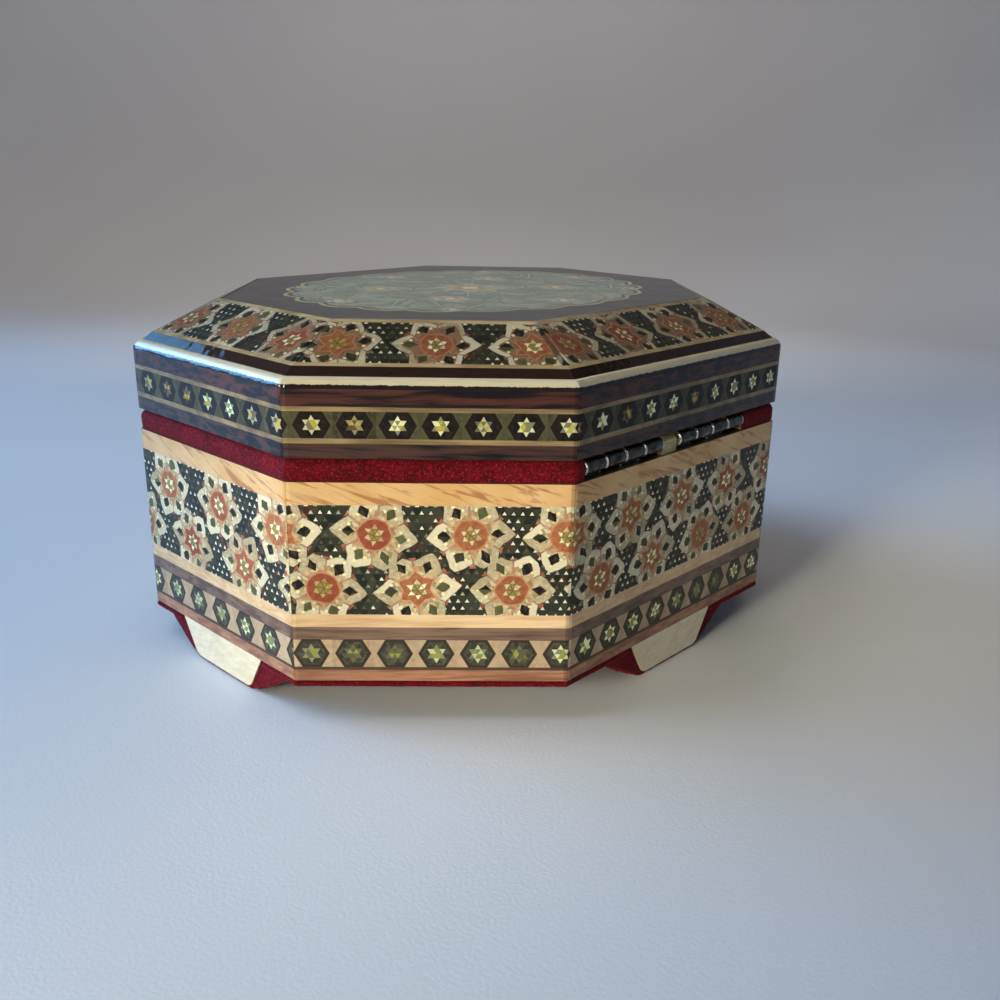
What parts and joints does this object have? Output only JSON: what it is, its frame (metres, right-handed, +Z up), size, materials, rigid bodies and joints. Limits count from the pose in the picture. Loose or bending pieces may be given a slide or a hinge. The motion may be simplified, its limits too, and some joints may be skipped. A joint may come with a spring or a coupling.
{
  "type": "marquetry trinket box",
  "caption": "Octagonal wooden trinket box clad in star and flower marquetry, with a hinged bevelled lid, velvet lining and bracket feet.",
  "frame": {"origin": "on the surface that the feet stand on, under the middle of the octagon", "axes": "+X along the long faces, +Y towards the hinged back, +Z up"},
  "size_m": [0.1388, 0.1208, 0.0717],
  "materials": {
    "carcass_wood": "bare",
    "pale_wood": "varnished",
    "cream_wood": "satin",
    "orange_wood": "varnished",
    "brown_wood": "varnished",
    "rosewood": "varnished",
    "ebony": "varnished",
    "black_lacquer": "gloss",
    "painted_lacquer": "gloss",
    "stringing": "varnished",
    "flower_marquetry": "varnished",
    "star_marquetry": "varnished",
    "lid_star_marquetry": "varnished",
    "red_velvet": "pile",
    "hinge_steel": "dull",
    "nail_steel": "dull"
  },
  "bodies": {
    "box": {"floor_board": "carcass_wood", "wall_front": "carcass_wood", "wall_front_right": "carcass_wood", "wall_right": "carcass_wood", "wall_back_right": "carcass_wood", "wall_back": "carcass_wood", "wall_back_left": "carcass_wood", "wall_left": "carcass_wood", "wall_front_left": "carcass_wood", "base_strips": "orange_wood", "star_band": "star_marquetry", "brown_strips": "brown_wood", "light_strips": "pale_wood", "flower_panels": "flower_marquetry", "rim_strips": "pale_wood", "rim_lip": "pale_wood", "velvet_rim_band": "red_velvet", "velvet_wall_lining": "red_velvet", "velvet_floor_pad": "red_velvet", "velvet_underside": "red_velvet", "foot_front_facing": "cream_wood", "foot_front_block": "carcass_wood", "foot_front_velvet": "red_velvet", "foot_right_facing": "cream_wood", "foot_right_block": "carcass_wood", "foot_right_velvet": "red_velvet", "foot_back_facing": "cream_wood", "foot_back_block": "carcass_wood", "foot_back_velvet": "red_velvet", "foot_left_facing": "cream_wood", "foot_left_block": "carcass_wood", "foot_left_velvet": "red_velvet", "hinge_left_body_leaf": "hinge_steel", "hinge_left_pin": "hinge_steel", "hinge_right_body_leaf": "hinge_steel", "hinge_right_pin": "hinge_steel", "hinge_body_nails": "nail_steel"},
    "lid": {"lid_walls": "carcass_wood", "lid_top_board": "carcass_wood", "lid_base_strips": "rosewood", "lid_stringing_low": "stringing", "lid_star_band": "lid_star_marquetry", "lid_stringing_high": "stringing", "rosewood_strips": "rosewood", "shoulder_moulding": "black_lacquer", "ebony_strips": "ebony", "slope_stringing_low": "stringing", "slope_panels": "flower_marquetry", "slope_stringing_high": "stringing", "top_panel": "painted_lacquer", "velvet_lid_lining": "red_velvet", "velvet_lid_pad": "red_velvet", "hinge_left_lid_leaf": "hinge_steel", "hinge_right_lid_leaf": "hinge_steel", "hinge_lid_nails": "nail_steel"}
  },
  "joints": [
    {"name": "lid_hinge", "type": "hinge", "parent": "box", "child": "lid", "pos_m": [0, 0.05885, 0.04825], "axis": [-1, 0, 0], "range_deg": [0, 105]}
  ]
}
